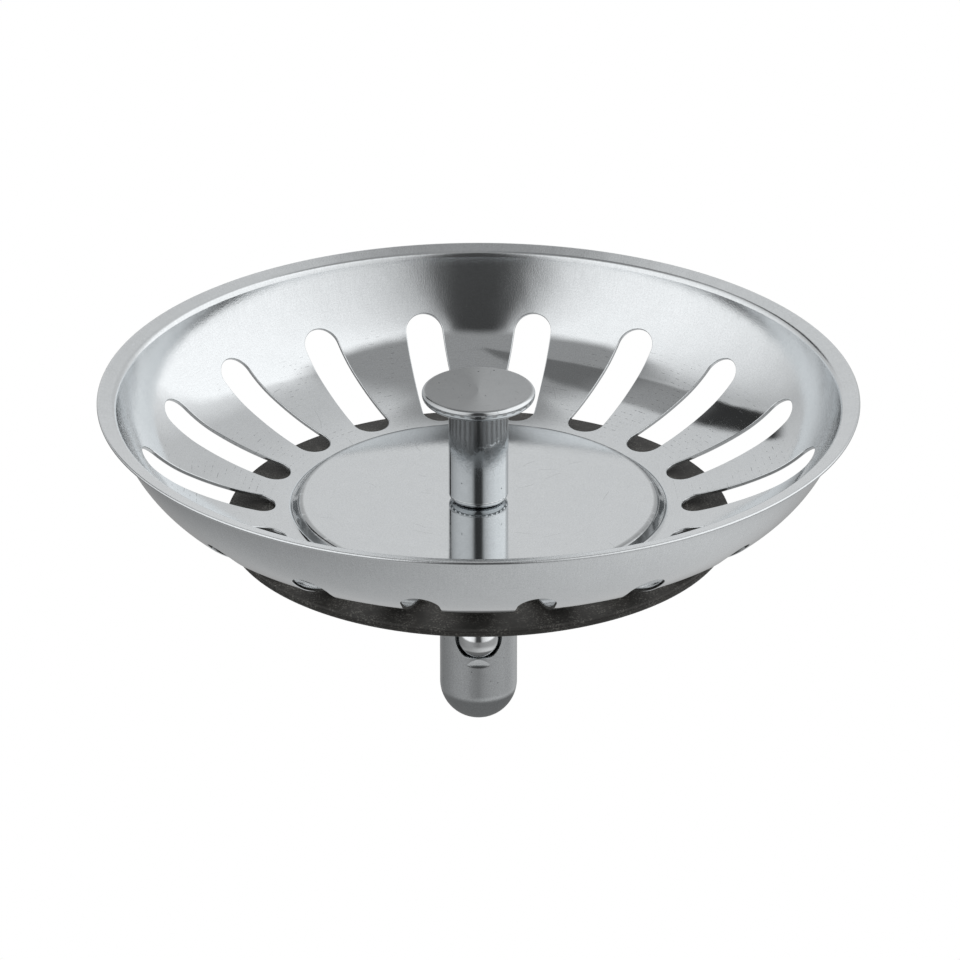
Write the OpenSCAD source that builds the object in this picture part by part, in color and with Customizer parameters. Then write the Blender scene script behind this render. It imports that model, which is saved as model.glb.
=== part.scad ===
// Basket strainer for a kitchen sink waste: a pressed bowl with radial slots, a turned
// knob to lift it by, a rubber seal under the bowl, and a stem with a spring-loaded ball
// that snaps into the guide hole of the waste. All sizes are in millimetres.
// The origin is on the axis, on the stem's shoulder. +Z points up, towards the knob.

/* [Basket] */
// Outer diameter of the rim
basket_d = 78; // [70:1:90]
// Thickness of the pressed sheet
sheet_t = 0.4; // [0.3:0.05:0.45]
// Width of the lip round the rim, seen from above
lip_w = 1.45; // [1.2:0.05:2.5]
// Upward slope of the lip, in degrees
lip_deg = 14; // [5:1:25]
// Radius of the bend between wall and lip, on its upper face
lip_bend_r = 0.75; // [0.6:0.05:1.2]
// Inner radius of the curved wall
wall_r = 13.1; // [11:0.1:15]
// Slope of the wall where it meets the lip, in degrees
wall_deg = 76.5; // [70:0.5:80]
// Inner radius of the shallow dish between floor and wall
dish_r = 32; // [28:1:40]
// Slope where the dish meets the wall, in degrees
join_deg = 25.6; // [22:0.2:30]
// Slope where the dish meets the fillet round the floor disc, in degrees
foot_deg = 6.5; // [4:0.5:8]
// Radius of that fillet, on its upper face
foot_r = 0.8; // [0.6:0.1:1]
// Radius at which the raised floor disc starts to bend down
disc_r = 18.2; // [17.6:0.1:18.4]
// Radius of the floor disc's edge, on its upper face
disc_edge_r = 0.55; // [0.5:0.05:0.6]
// Height of the floor disc above the fillet round it
disc_rise = 0.95; // [0.8:0.05:1.1]

/* [Slots] */
// Number of radial slots
slot_count = 18; // [12:1:20]
// Width of each slot
slot_w = 3.9; // [3:0.1:4.5]
// Distance from the axis to the inner end of a slot
slot_inner_r = 20.85; // [20.6:0.05:22]
// Slope of the wall at the outer end of a slot, in degrees
slot_end_deg = 51; // [45:1:60]

/* [Knob] */
// Diameter of the knob's head
head_d = 11.6; // [10:0.1:14]
// Thickness of the head
head_t = 1.2; // [1:0.1:2]
// Height of the knob above the floor disc
knob_h = 12.35; // [10:0.05:16]
// Diameter of the knob's shank
shank_d = 6.15; // [5.8:0.05:8]
// Radius round the foot of the shank
shank_foot_r = 0.8; // [0.4:0.1:0.9]
// Depth of the shallow hollow in the head's top
hollow_depth = 0.12; // [0.05:0.01:0.2]

/* [Fastening] */
// Diameter of the knob's spigot, over its thread
spigot_d = 4; // [3:0.5:4]
// Length of the spigot inside the stem
spigot_grip = 5.4; // [4:0.1:5.6]
// Diameter of the holes that the spigot passes through
pass_hole_d = 4.4; // [4.2:0.1:4.8]
// Outer diameter of the backing washer
backing_d = 30; // [24:1:32]
// Thickness of the backing washer
backing_t = 1; // [0.8:0.1:1.5]
// Outer diameter of the split lock washer
lock_d = 7.6; // [7:0.1:8]
// Thickness of the split lock washer
lock_t = 0.8; // [0.6:0.1:1]

/* [Seal] */
// Outer diameter of the rubber seal
seal_d = 52; // [48:1:54]
// Thickness of the seal where the bowl sits on it
seal_t = 1.7; // [1.5:0.1:2.5]
// Radius of the flat seat that the bowl sits on
seat_r = 21.6; // [20.5:0.1:22]
// Drop of the seal's lip below that seat, at its outer edge
lip_drop = 0.8; // [0.4:0.05:0.9]
// Thickness of the seal's lip at its outer edge
lip_t = 0.6; // [0.5:0.05:0.7]

/* [Stem] */
// Diameter of the stem
stem_d = 8; // [7.6:0.1:9]
// Length of the stem, with its round end
stem_len = 20; // [18:0.5:24]
// Distance from the shoulder down to the axis of the cross hole
bore_drop = 9.6; // [9.5:0.1:11]
// Distance from the shoulder down to a shallow relief groove, which ends the plain pin
relief_drop = 5.6; // [5:0.1:5.6]

/* [Detent] */
// Diameter of the detent ball
ball_d = 4.2; // [4:0.1:4.2]
// How far the ball stands out of the stem at rest
ball_out = 1.2; // [1.1:0.05:1.25]
// Gap between the ball and its bore, all round
ball_gap = 0.1; // [0.05:0.01:0.1]
// Diameter of the spring's wire
wire_d = 0.45; // [0.3:0.05:0.5]
// Number of turns of the spring
spring_turns = 5; // [4:0.5:5]

/* [Hidden] */
$fn = 96;

// Heights of the stack on the stem's shoulder
seat_z = lock_t + backing_t + seal_t;
disc_z = seat_z + sheet_t + disc_rise;
knob_top_z = disc_z + knob_h;

// Centres of the sheet's bends, which run into each other. Each is [radius, height]
rim_r = basket_d / 2;
wall_top = [sin(wall_deg), -cos(wall_deg)];
foot_c_z = seat_z + sheet_t + foot_r;
dish_c_z = foot_c_z + (dish_r - foot_r) * cos(foot_deg);
wall_c = [rim_r - lip_w + lip_bend_r * sin(lip_deg) - (wall_r + lip_bend_r) * wall_top[0],
          dish_c_z - (dish_r - wall_r) * cos(join_deg)];
dish_c = [wall_c[0] - (dish_r - wall_r) * sin(join_deg), dish_c_z];
foot_c = [dish_c[0] + (dish_r - foot_r) * sin(foot_deg), foot_c_z];
disc_c = [disc_r, disc_z - disc_edge_r];
lip_c = wall_c + (wall_r + lip_bend_r) * wall_top;

// The step down from the floor disc is the line that touches the bends above and below it
step = foot_c - disc_c;
step_deg = asin((foot_r + disc_edge_r) / norm(step)) - atan2(step[1], step[0]);

// The lip runs straight from its bend. This is the centre of its rounded edge
lip_end_r = rim_r - sheet_t / 2;
lip_mid = lip_c + (lip_bend_r - sheet_t / 2) * [-sin(lip_deg), cos(lip_deg)];
lip_end = [lip_end_r, lip_mid[1] + (lip_end_r - lip_mid[0]) * tan(lip_deg)];
arc_step = 6.5;

// Slots: round ends square to the sheet, and sides parallel to the slot's middle plane
slot_r = slot_w / 2;
slot_round_deg = slot_end_deg - slot_r / wall_r * 180 / PI;
slot_straight = 7;
slot_depth = 8;

// Detent: the bore runs along Y, and its mouth faces -Y
stem_r = stem_d / 2;
relief_w = 0.6;
relief_depth = 0.3;
ball_r = ball_d / 2;
ball_y = -(stem_r + ball_out - ball_r);
bore_r = ball_r + ball_gap;
bore_end_y = 2.2;
drill_point = 0.9;
mouth_r = bore_r + 0.2;
mouth_y = -2.9;
stake_y = -3.7;
stake_gap = 2.04;
punch_r = 3.2;
punch_w = 2.4;
punch_top = 2.15;
punch_depth = 0.28;
outside = 2;

// Spring between the ball and the end of the bore
coil_r = 1.75;
spring_from_y = ball_y + sqrt(ball_r * ball_r - coil_r * coil_r) + wire_d / 2 + 0.05;
spring_to_y = bore_end_y - wire_d / 2;
coil_steps = 28;
wire_sides = 8;

// Part of a disc, between two angles less than 180 degrees apart
module pie(c, r, a0, a1) {
    am = (a0 + a1) / 2;
    translate(c)
        intersection() {
            circle(r = r);
            polygon([[0, 0], 2 * r * [cos(a0), sin(a0)], 3 * r * [cos(am), sin(am)],
                     2 * r * [cos(a1), sin(a1)]]);
        }
}

// Half outline of a turned disc, from z0 to z1, with its lower and upper edges rounded
module turned(r, z0, z1, r_low, r_high) {
    translate([0, z0 + r_low]) square([r, z1 - z0 - r_low - r_high]);
    translate([0, z0]) square([r - r_low, r_low]);
    translate([0, z1 - r_high]) square([r - r_high, r_high]);
    pie([r - r_low, z0 + r_low], r_low, -90, 0);
    pie([r - r_high, z1 - r_high], r_high, 0, 90);
}

// Flat washer with rounded outer edges
module washer_2d(r_hole, r, z0, z1, r_edge) {
    difference() {
        turned(r, z0, z1, r_edge, r_edge);
        translate([0, z0]) square([r_hole, z1 - z0]);
    }
}

// Points along an arc, from angle a0 up to but not including a1
function arc(c, r, a0, a1) =
    let (n = ceil(abs(a1 - a0) / arc_step))
    [for (i = [0 : n - 1]) c + r * dir(a0 + (a1 - a0) * i / n)];
function dir(a) = [cos(a), sin(a)];
function reversed(list) = [for (i = [len(list) - 1 : -1 : 0]) list[i]];

// One face of the sheet, from the centre hole to the lip. The depth is measured below
// the upper face. Bends that curve up grow with it, and bends that curve down shrink
function sheet_face(depth) = concat(
    [[pass_hole_d / 2, disc_z - depth]],
    arc(disc_c, disc_edge_r - depth, 90, 90 - step_deg),
    [disc_c + (disc_edge_r - depth) * dir(90 - step_deg)],
    arc(foot_c, foot_r + depth, 270 - step_deg, 270 + foot_deg),
    arc(dish_c, dish_r + depth, 270 + foot_deg, 270 + join_deg),
    arc(wall_c, wall_r + depth, 270 + join_deg, 270 + wall_deg),
    arc(lip_c, lip_bend_r - depth, 90 + wall_deg, 90 + lip_deg),
    [lip_c + (lip_bend_r - depth) * dir(90 + lip_deg)]);

// Outline of the sheet. Its outer edge is rounded
module sheet_2d() {
    lip_edge = arc(lip_end, sheet_t / 2, 90 + lip_deg, lip_deg - 90);
    lower_end = [lip_end - sheet_t / 2 * dir(90 + lip_deg)];
    polygon(concat(sheet_face(0), lip_edge, lower_end, reversed(sheet_face(sheet_t))));
}

// Tool that cuts one slot, lying along +X
module slot_tool() {
    inner_x = slot_inner_r + slot_r;
    round_c = wall_c + wall_r * [sin(slot_round_deg), -cos(slot_round_deg)];
    translate([inner_x, 0, seat_z]) cylinder(r = slot_r, h = slot_depth, center = true);
    translate([inner_x, -slot_r, seat_z - slot_depth / 2])
        cube([slot_straight, slot_w, slot_depth]);
    translate([round_c[0], 0, round_c[1]])
        rotate([0, -slot_round_deg, 0]) {
            cylinder(r = slot_r, h = slot_depth, center = true);
            translate([-slot_straight, -slot_r, -slot_depth / 2])
                cube([slot_straight, slot_w, slot_depth]);
        }
}

// Pressed and slotted bowl
module basket() {
    color([0.78, 0.79, 0.8])
        difference() {
            rotate_extrude() sheet_2d();
            for (i = [0 : slot_count - 1])
                rotate([0, 0, 90 + (i + 0.5) * 360 / slot_count]) slot_tool();
        }
}

// Turned knob, in one piece with the spigot that screws into the stem
module knob() {
    head_r = head_d / 2;
    shank_r = shank_d / 2;
    head_z = knob_top_z - head_t;
    sunk = 0.4;
    under_r = 0.3;
    hollow_r = 100;
    color([0.72, 0.73, 0.74])
        rotate_extrude()
            difference() {
                union() {
                    turned(head_r, head_z, knob_top_z, 0.65, 0.45);
                    turned(shank_r, disc_z, head_z + sunk, shank_foot_r, sunk / 2);
                    difference() {
                        translate([shank_r, head_z - under_r]) square([under_r, under_r]);
                        translate([shank_r + under_r, head_z - under_r]) circle(r = under_r);
                    }
                    translate([0, -spigot_grip]) square([spigot_d / 2, spigot_grip + disc_z]);
                }
                translate([0, knob_top_z + hollow_r - hollow_depth]) circle(r = hollow_r);
            }
}

// Moulded rubber disc: a boss fills the hollow under the floor disc, and a thin lip
// droops outside the seat
module seal() {
    seal_r = seal_d / 2;
    boss_r = disc_r - 0.9;
    plate_z = lock_t + backing_t;
    edge_z = seat_z - lip_drop;
    edge_r = 0.2;
    step_h = 0.15;
    color([0.16, 0.155, 0.15])
        rotate_extrude()
            difference() {
                union() {
                    turned(boss_r, seat_z - 0.5, disc_z - sheet_t, 0.1, 0.3);
                    translate([0, plate_z]) square([seat_r, seal_t]);
                    polygon([[seat_r, plate_z], [seal_r - edge_r, edge_z - lip_t],
                             [seal_r - edge_r, edge_z], [seat_r, seat_z - step_h]]);
                    washer_2d(seal_r - 1, seal_r, edge_z - lip_t, edge_z, edge_r);
                }
                translate([0, plate_z]) square([pass_hole_d / 2, disc_z]);
            }
}

// Flat washer that clamps the seal against the bowl
module backing_washer() {
    color([0.68, 0.69, 0.7])
        rotate_extrude()
            washer_2d(pass_hole_d / 2, backing_d / 2, lock_t, lock_t + backing_t, 0.3);
}

// Split spring washer, pressed flat between the stem and the backing washer
module lock_washer() {
    gap = 0.5;
    color([0.6, 0.6, 0.61])
        difference() {
            rotate_extrude() washer_2d(pass_hole_d / 2, lock_d / 2, 0, lock_t, 0.12);
            rotate([0, 20, 0])
                translate([-gap / 2, 0, -lock_d]) cube([gap, lock_d, 2 * lock_d]);
        }
}

// One of the two punch marks beside the bore's mouth, below it or above it
module punch_mark() {
    run = punch_r - punch_top;
    intersection() {
        rotate([90, 0, 0]) cylinder(r = punch_r, h = stem_r + outside);
        translate([-punch_w / 2, -stem_r, -punch_top])
            rotate([atan2(punch_depth, run), 0, 0])
                translate([0, -outside, -2 * run]) cube([punch_w, outside, 2 * run]);
    }
}

// Turned stem: tapped from above, cross-drilled for the ball, and staked at the mouth
module stem() {
    color([0.74, 0.75, 0.76])
        difference() {
            rotate_extrude()
                difference() {
                    union() {
                        translate([0, stem_r - stem_len]) square([stem_r, stem_len - stem_r]);
                        pie([0, stem_r - stem_len], stem_r, -90, 0);
                    }
                    translate([stem_r - relief_depth, -relief_drop - relief_w])
                        square([stem_r, relief_w]);
                }
            translate([0, 0, -spigot_grip - 0.8])
                cylinder(r = spigot_d / 2 + 0.05, h = spigot_grip + outside);
            translate([0, 0, -bore_drop]) {
                rotate([90, 0, 0])
                    translate([0, 0, -bore_end_y])
                        cylinder(r = bore_r, h = bore_end_y - stake_y);
                translate([0, bore_end_y, 0])
                    rotate([-90, 0, 0]) cylinder(r1 = bore_r, r2 = 0, h = drill_point);
                difference() {
                    rotate([90, 0, 0])
                        translate([0, 0, -mouth_y])
                            cylinder(r = mouth_r, h = outside + stem_r + mouth_y);
                    for (side = [0, 1])
                        mirror([0, 0, side])
                            translate([-stem_r, stake_y - stem_r, stake_gap])
                                cube([stem_d, stem_r, stem_r]);
                }
                for (side = [0, 1])
                    mirror([0, 0, side]) punch_mark();
            }
        }
}

module detent_ball() {
    color([0.8, 0.81, 0.82])
        translate([0, ball_y, -bore_drop]) sphere(r = ball_r);
}

// One ring of points round the spring's wire
function wire_ring(turn, y) =
    [for (k = [0 : wire_sides - 1])
        let (a = 360 * k / wire_sides, r = coil_r + wire_d / 2 * cos(a))
        [r * cos(turn), y + wire_d / 2 * sin(a), r * sin(turn)]];

// Coil spring along the bore
module detent_spring() {
    rings = ceil(spring_turns * coil_steps);
    span = spring_to_y - spring_from_y;
    points = [for (i = [0 : rings])
        each wire_ring(i * 360 / coil_steps, spring_from_y + span * i / rings)];
    sides = [for (i = [0 : rings - 1], k = [0 : wire_sides - 1])
        let (a = i * wire_sides + k, b = i * wire_sides + (k + 1) % wire_sides)
        [a, b, b + wire_sides, a + wire_sides]];
    first = [for (k = [wire_sides - 1 : -1 : 0]) k];
    last = [for (k = [0 : wire_sides - 1]) rings * wire_sides + k];
    color([0.62, 0.62, 0.63])
        translate([0, 0, -bore_drop])
            polyhedron(points, concat([first], sides, [last]));
}

basket();
knob();
seal();
backing_washer();
lock_washer();
stem();
detent_ball();
detent_spring();
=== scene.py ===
"""Basket strainer: a pressed steel bowl, a turned knob, a rubber seal and a sprung stem.

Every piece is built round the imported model. The outlines below are in millimetres, in the
frame of the model, and are worked out from the boxes of its nodes.
"""
import math

import bmesh
import bpy
import numpy as np
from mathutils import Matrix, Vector


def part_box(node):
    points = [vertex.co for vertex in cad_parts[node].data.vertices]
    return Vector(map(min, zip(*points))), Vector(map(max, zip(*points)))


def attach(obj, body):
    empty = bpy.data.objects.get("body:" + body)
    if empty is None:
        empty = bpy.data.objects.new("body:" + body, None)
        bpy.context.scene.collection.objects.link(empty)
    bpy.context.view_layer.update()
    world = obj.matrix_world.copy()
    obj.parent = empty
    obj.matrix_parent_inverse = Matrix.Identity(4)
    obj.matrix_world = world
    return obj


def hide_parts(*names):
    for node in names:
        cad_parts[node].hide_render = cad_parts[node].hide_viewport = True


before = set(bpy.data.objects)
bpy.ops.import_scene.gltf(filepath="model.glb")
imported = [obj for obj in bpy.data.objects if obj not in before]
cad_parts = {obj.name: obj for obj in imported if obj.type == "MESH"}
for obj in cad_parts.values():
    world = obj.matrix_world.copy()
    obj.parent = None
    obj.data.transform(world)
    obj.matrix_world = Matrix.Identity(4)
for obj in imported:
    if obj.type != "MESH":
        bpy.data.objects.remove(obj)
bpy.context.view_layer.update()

# ---------------------------------------------------------------- sizes, in millimetres
MM = 0.001
TINY = 1e-6


def node_box(node):
    """Lowest and highest corner of a CAD node, in millimetres."""
    low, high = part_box(node)
    return low / MM, high / MM


# The bowl, from its rim in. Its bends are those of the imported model
RIM_R = node_box("basket")[1].x
SEAT_Z = node_box("basket")[0].z
SHEET_T = 0.4
LIP_W, LIP_DEG, LIP_BEND_R = 1.45, 14, 0.75
WALL_R, WALL_DEG = 13.1, 76.5           # radius, and slope where the lip's bend starts
DISH_R, JOIN_DEG = 32, 25.6             # radius, and slope where the wall starts
FOOT_R, FOOT_DEG = 0.8, 6.5             # radius, and slope where the dish starts
DISC_R, DISC_EDGE_R, DISC_RISE = 18.2, 0.55, 0.95
DISC_Z = SEAT_Z + SHEET_T + DISC_RISE
HOLE_R = 2.2

SLOT_COUNT, SLOT_R, EDGE_R = 18, 1.95, 0.09
SLOT_INNER_R, SLOT_END_DEG = 20.85, 51
SLOT_PITCH = 2 * math.pi / SLOT_COUNT

KNOB_TOP_Z = node_box("knob")[1].z
HEAD_R = node_box("knob")[1].x
SPIGOT_Z = node_box("knob")[0].z
HEAD_T, HEAD_TOP_R, HEAD_LOW_R, HOLLOW = 1.2, 0.45, 0.65, 0.12
SHANK_R, SHANK_FOOT_R, UNDER_R = 3.075, 0.8, 0.3
SPIGOT_R = 2.0

SEAL_R = node_box("seal")[1].x
SEAL_LOW_Z = node_box("seal")[0].z
SEAL_SEAT_R, SEAL_LIP_Z = 21.6, SEAT_Z - 0.8

STEM_R = node_box("stem")[1].x
STEM_LOW_Z = node_box("stem")[0].z
BALL_LOW, BALL_HIGH = node_box("detent_ball")
BALL_R = (BALL_HIGH.x - BALL_LOW.x) / 2
BALL_Y = (BALL_HIGH.y + BALL_LOW.y) / 2
BORE_Z = (BALL_HIGH.z + BALL_LOW.z) / 2

# Counts of points
TURN_STEPS = 192                        # round a turned piece
COLUMNS = 12                            # across each rib between two slots
SLOT_END_STEPS, SLOT_STEPS, SLOT_EDGE_STEPS = 14, 34, 4


# ---------------------------------------------------------------- outlines
def direction(degrees):
    """Unit vector at an angle, as [out, up]."""
    a = math.radians(degrees)
    return np.array([math.cos(a), math.sin(a)])


def spun(place, angle):
    """A point or normal [out, up] of an outline, turned round the axis."""
    return np.array([place[0] * math.cos(angle), place[0] * math.sin(angle), place[1]])


def turns(steps, start=0.0):
    """Angles of that many steps once round."""
    return [start + 2 * math.pi * i / steps for i in range(steps)]


class Outline:
    """Half outline of a turned piece: points [radius, height] and the normals at them."""

    def __init__(self):
        self.points, self.normals = [], []

    def add(self, point, normal):
        normal = np.array(normal, float)
        self.points.append(np.array(point, float))
        self.normals.append(normal / np.linalg.norm(normal))

    def line(self, start, end, steps=1):
        """A straight run. Its normal is on the left of the way from start to end."""
        start, end = np.array(start, float), np.array(end, float)
        run = end - start
        for i in range(steps + 1):
            self.add(start + run * i / steps, (-run[1], run[0]))
        return self

    def arc(self, centre, radius, from_deg, to_deg, steps=8, hollow=False):
        """A round run. Its normal points away from the centre, or to it if hollow."""
        for i in range(steps + 1):
            out = direction(from_deg + (to_deg - from_deg) * i / steps)
            self.add(np.array(centre) + radius * out, -out if hollow else out)
        return self


def sheet_bends():
    """Centres of the sheet's bends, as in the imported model, and the slope of the step."""
    wall_top = direction(WALL_DEG - 90)
    foot_z = SEAT_Z + SHEET_T + FOOT_R
    dish_z = foot_z + (DISH_R - FOOT_R) * math.cos(math.radians(FOOT_DEG))
    wall_x = RIM_R - LIP_W + LIP_BEND_R * math.sin(math.radians(LIP_DEG))
    wall = np.array([wall_x - (WALL_R + LIP_BEND_R) * wall_top[0],
                     dish_z - (DISH_R - WALL_R) * math.cos(math.radians(JOIN_DEG))])
    dish = np.array([wall[0] - (DISH_R - WALL_R) * math.sin(math.radians(JOIN_DEG)), dish_z])
    foot = np.array([dish[0] + (DISH_R - FOOT_R) * math.sin(math.radians(FOOT_DEG)), foot_z])
    disc = np.array([DISC_R, DISC_Z - DISC_EDGE_R])
    lip = wall + (WALL_R + LIP_BEND_R) * wall_top
    step = foot - disc
    step_deg = math.degrees(math.asin((FOOT_R + DISC_EDGE_R) / np.linalg.norm(step))
                            - math.atan2(step[1], step[0]))
    return wall, dish, foot, disc, lip, step_deg


# ---------------------------------------------------------------- meshes
def mesh_object(name, points, faces, normals, body="strainer"):
    """A piece from points in millimetres. A normal of None is worked out from the faces."""
    mesh = bpy.data.meshes.new(name)
    mesh.from_pydata([tuple(p) for p in np.array(points, float) * MM], [], faces)
    work = bmesh.new()
    work.from_mesh(mesh)
    bmesh.ops.recalc_face_normals(work, faces=work.faces)
    work.to_mesh(mesh)
    work.free()
    mesh.shade_smooth()
    found = [tuple(v.normal if n is None else n) for v, n in zip(mesh.vertices, normals)]
    mesh.normals_split_custom_set_from_vertices(found)
    mesh.update()
    piece = bpy.data.objects.new(name, mesh)
    bpy.context.scene.collection.objects.link(piece)
    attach(piece, body)
    return piece


def revolve(name, outline, steps=TURN_STEPS, body="strainer", centre=(0, 0, 0), axis="z"):
    """A turned piece from a half outline that starts and ends on the axis, or is closed."""
    points, normals, faces, rows = [], [], [], []
    for point, normal in zip(outline.points, outline.normals):
        if point[0] < TINY:
            rows.append([len(points)] * steps)
            points.append((0, 0, point[1]))
            normals.append((0, 0, math.copysign(1, normal[1])))
            continue
        rows.append(range(len(points), len(points) + steps))
        points += [spun(point, angle) for angle in turns(steps)]
        normals += [spun(normal, angle) for angle in turns(steps)]
    if outline.points[0][0] > TINY:
        rows.append(rows[0])
    for low, high in zip(rows, rows[1:]):
        for i in range(steps):
            j = (i + 1) % steps
            face = [low[i], low[j], high[j], high[i]]
            face = [v for k, v in enumerate(face) if v not in face[:k]]
            if len(face) > 2:
                faces.append(face)
    points, normals = np.array(points), np.array(normals)
    if axis == "-y":
        points = points[:, [0, 2, 1]] * (1, -1, 1)
        normals = normals[:, [0, 2, 1]] * (1, -1, 1)
    return mesh_object(name, points + np.array(centre), faces, normals, body)


# ---------------------------------------------------------------- the slotted bowl
class Sheet:
    """The bowl's upper face as a path from the centre hole to the lip, by its length."""

    def __init__(self):
        wall, dish, foot, disc, lip, step_deg = sheet_bends()
        self.runs = []
        self.length = 0.0
        disc_top = np.array([DISC_R, DISC_Z])
        edge_end = disc + DISC_EDGE_R * direction(90 - step_deg)
        foot_start = foot + FOOT_R * direction(270 - step_deg)
        self.line((HOLE_R, DISC_Z), disc_top, steps=14)
        self.arc(disc, DISC_EDGE_R, 90, 90 - step_deg, steps=8)
        self.line(edge_end, foot_start, steps=1)
        self.arc(foot, FOOT_R, 270 - step_deg, 270 + FOOT_DEG, steps=8, hollow=True)
        self.dish_start = self.length
        self.arc(dish, DISH_R, 270 + FOOT_DEG, 270 + JOIN_DEG, steps=10, hollow=True)
        self.wall_start = self.length
        self.arc(wall, WALL_R, 270 + JOIN_DEG, 270 + WALL_DEG, steps=44, hollow=True)
        self.arc(lip, LIP_BEND_R, 90 + WALL_DEG, 90 + LIP_DEG, steps=10)
        lip_start = lip + LIP_BEND_R * direction(90 + LIP_DEG)
        slope = direction(LIP_DEG)
        lip_end_x = RIM_R - SHEET_T / 2 + SHEET_T / 2 * direction(90 + LIP_DEG)[0]
        self.line(lip_start, lip_start + slope * (lip_end_x - lip_start[0]) / slope[0], steps=3)

    def line(self, start, end, steps):
        start, end = np.array(start, float), np.array(end, float)
        length = np.linalg.norm(end - start)
        along = (end - start) / length
        self._add(length, steps, lambda s: (start + along * s, np.array([-along[1], along[0]]),
                                            along))

    def arc(self, centre, radius, from_deg, to_deg, steps, hollow=False):
        turn = math.radians(to_deg - from_deg)
        length = radius * abs(turn)

        def at(s):
            degrees = from_deg + (to_deg - from_deg) * s / length
            out = direction(degrees)
            along = np.array([-out[1], out[0]]) * math.copysign(1, turn)
            return centre + radius * out, -out if hollow else out, along
        self._add(length, steps, at)

    def _add(self, length, steps, at):
        self.runs.append((self.length, self.length + length, steps, at))
        self.length += length

    def at(self, s):
        """Point, normal and direction at a distance s along the face."""
        for start, end, _, at in self.runs:
            if s <= end + TINY:
                return at(min(s, end) - start)
        return at(self.runs[-1][1] - self.runs[-1][0])

    def stations(self, start, end):
        """Places for rows of points between two distances, the ends left out."""
        clear = 0.05
        found = []
        for run_start, run_end, steps, _ in self.runs:
            for i in range(steps + 1):
                s = run_start + (run_end - run_start) * i / steps
                if start + clear < s < end - clear and (not found or s > found[-1] + TINY):
                    found.append(s)
        return found


def slot_rows(inner_s, outer_s, radius):
    """Rows across a slot: distance along the sheet, and half the slot's width there."""
    angles = [math.pi / 2 * i / SLOT_END_STEPS for i in range(SLOT_END_STEPS + 1)]
    rows = [(inner_s - radius * math.cos(a), radius * math.sin(a)) for a in angles]
    rows += [(inner_s + (outer_s - inner_s) * i / SLOT_STEPS, radius) for i in range(1, SLOT_STEPS)]
    rows += [(outer_s + radius * math.sin(a), radius * math.cos(a)) for a in angles]
    return [(s, half if half > TINY else 0.0) for s, half in rows]


def slot_way(number):
    """Angle of the middle plane of a slot."""
    return math.pi / 2 + (number + 0.5) * SLOT_PITCH


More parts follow.
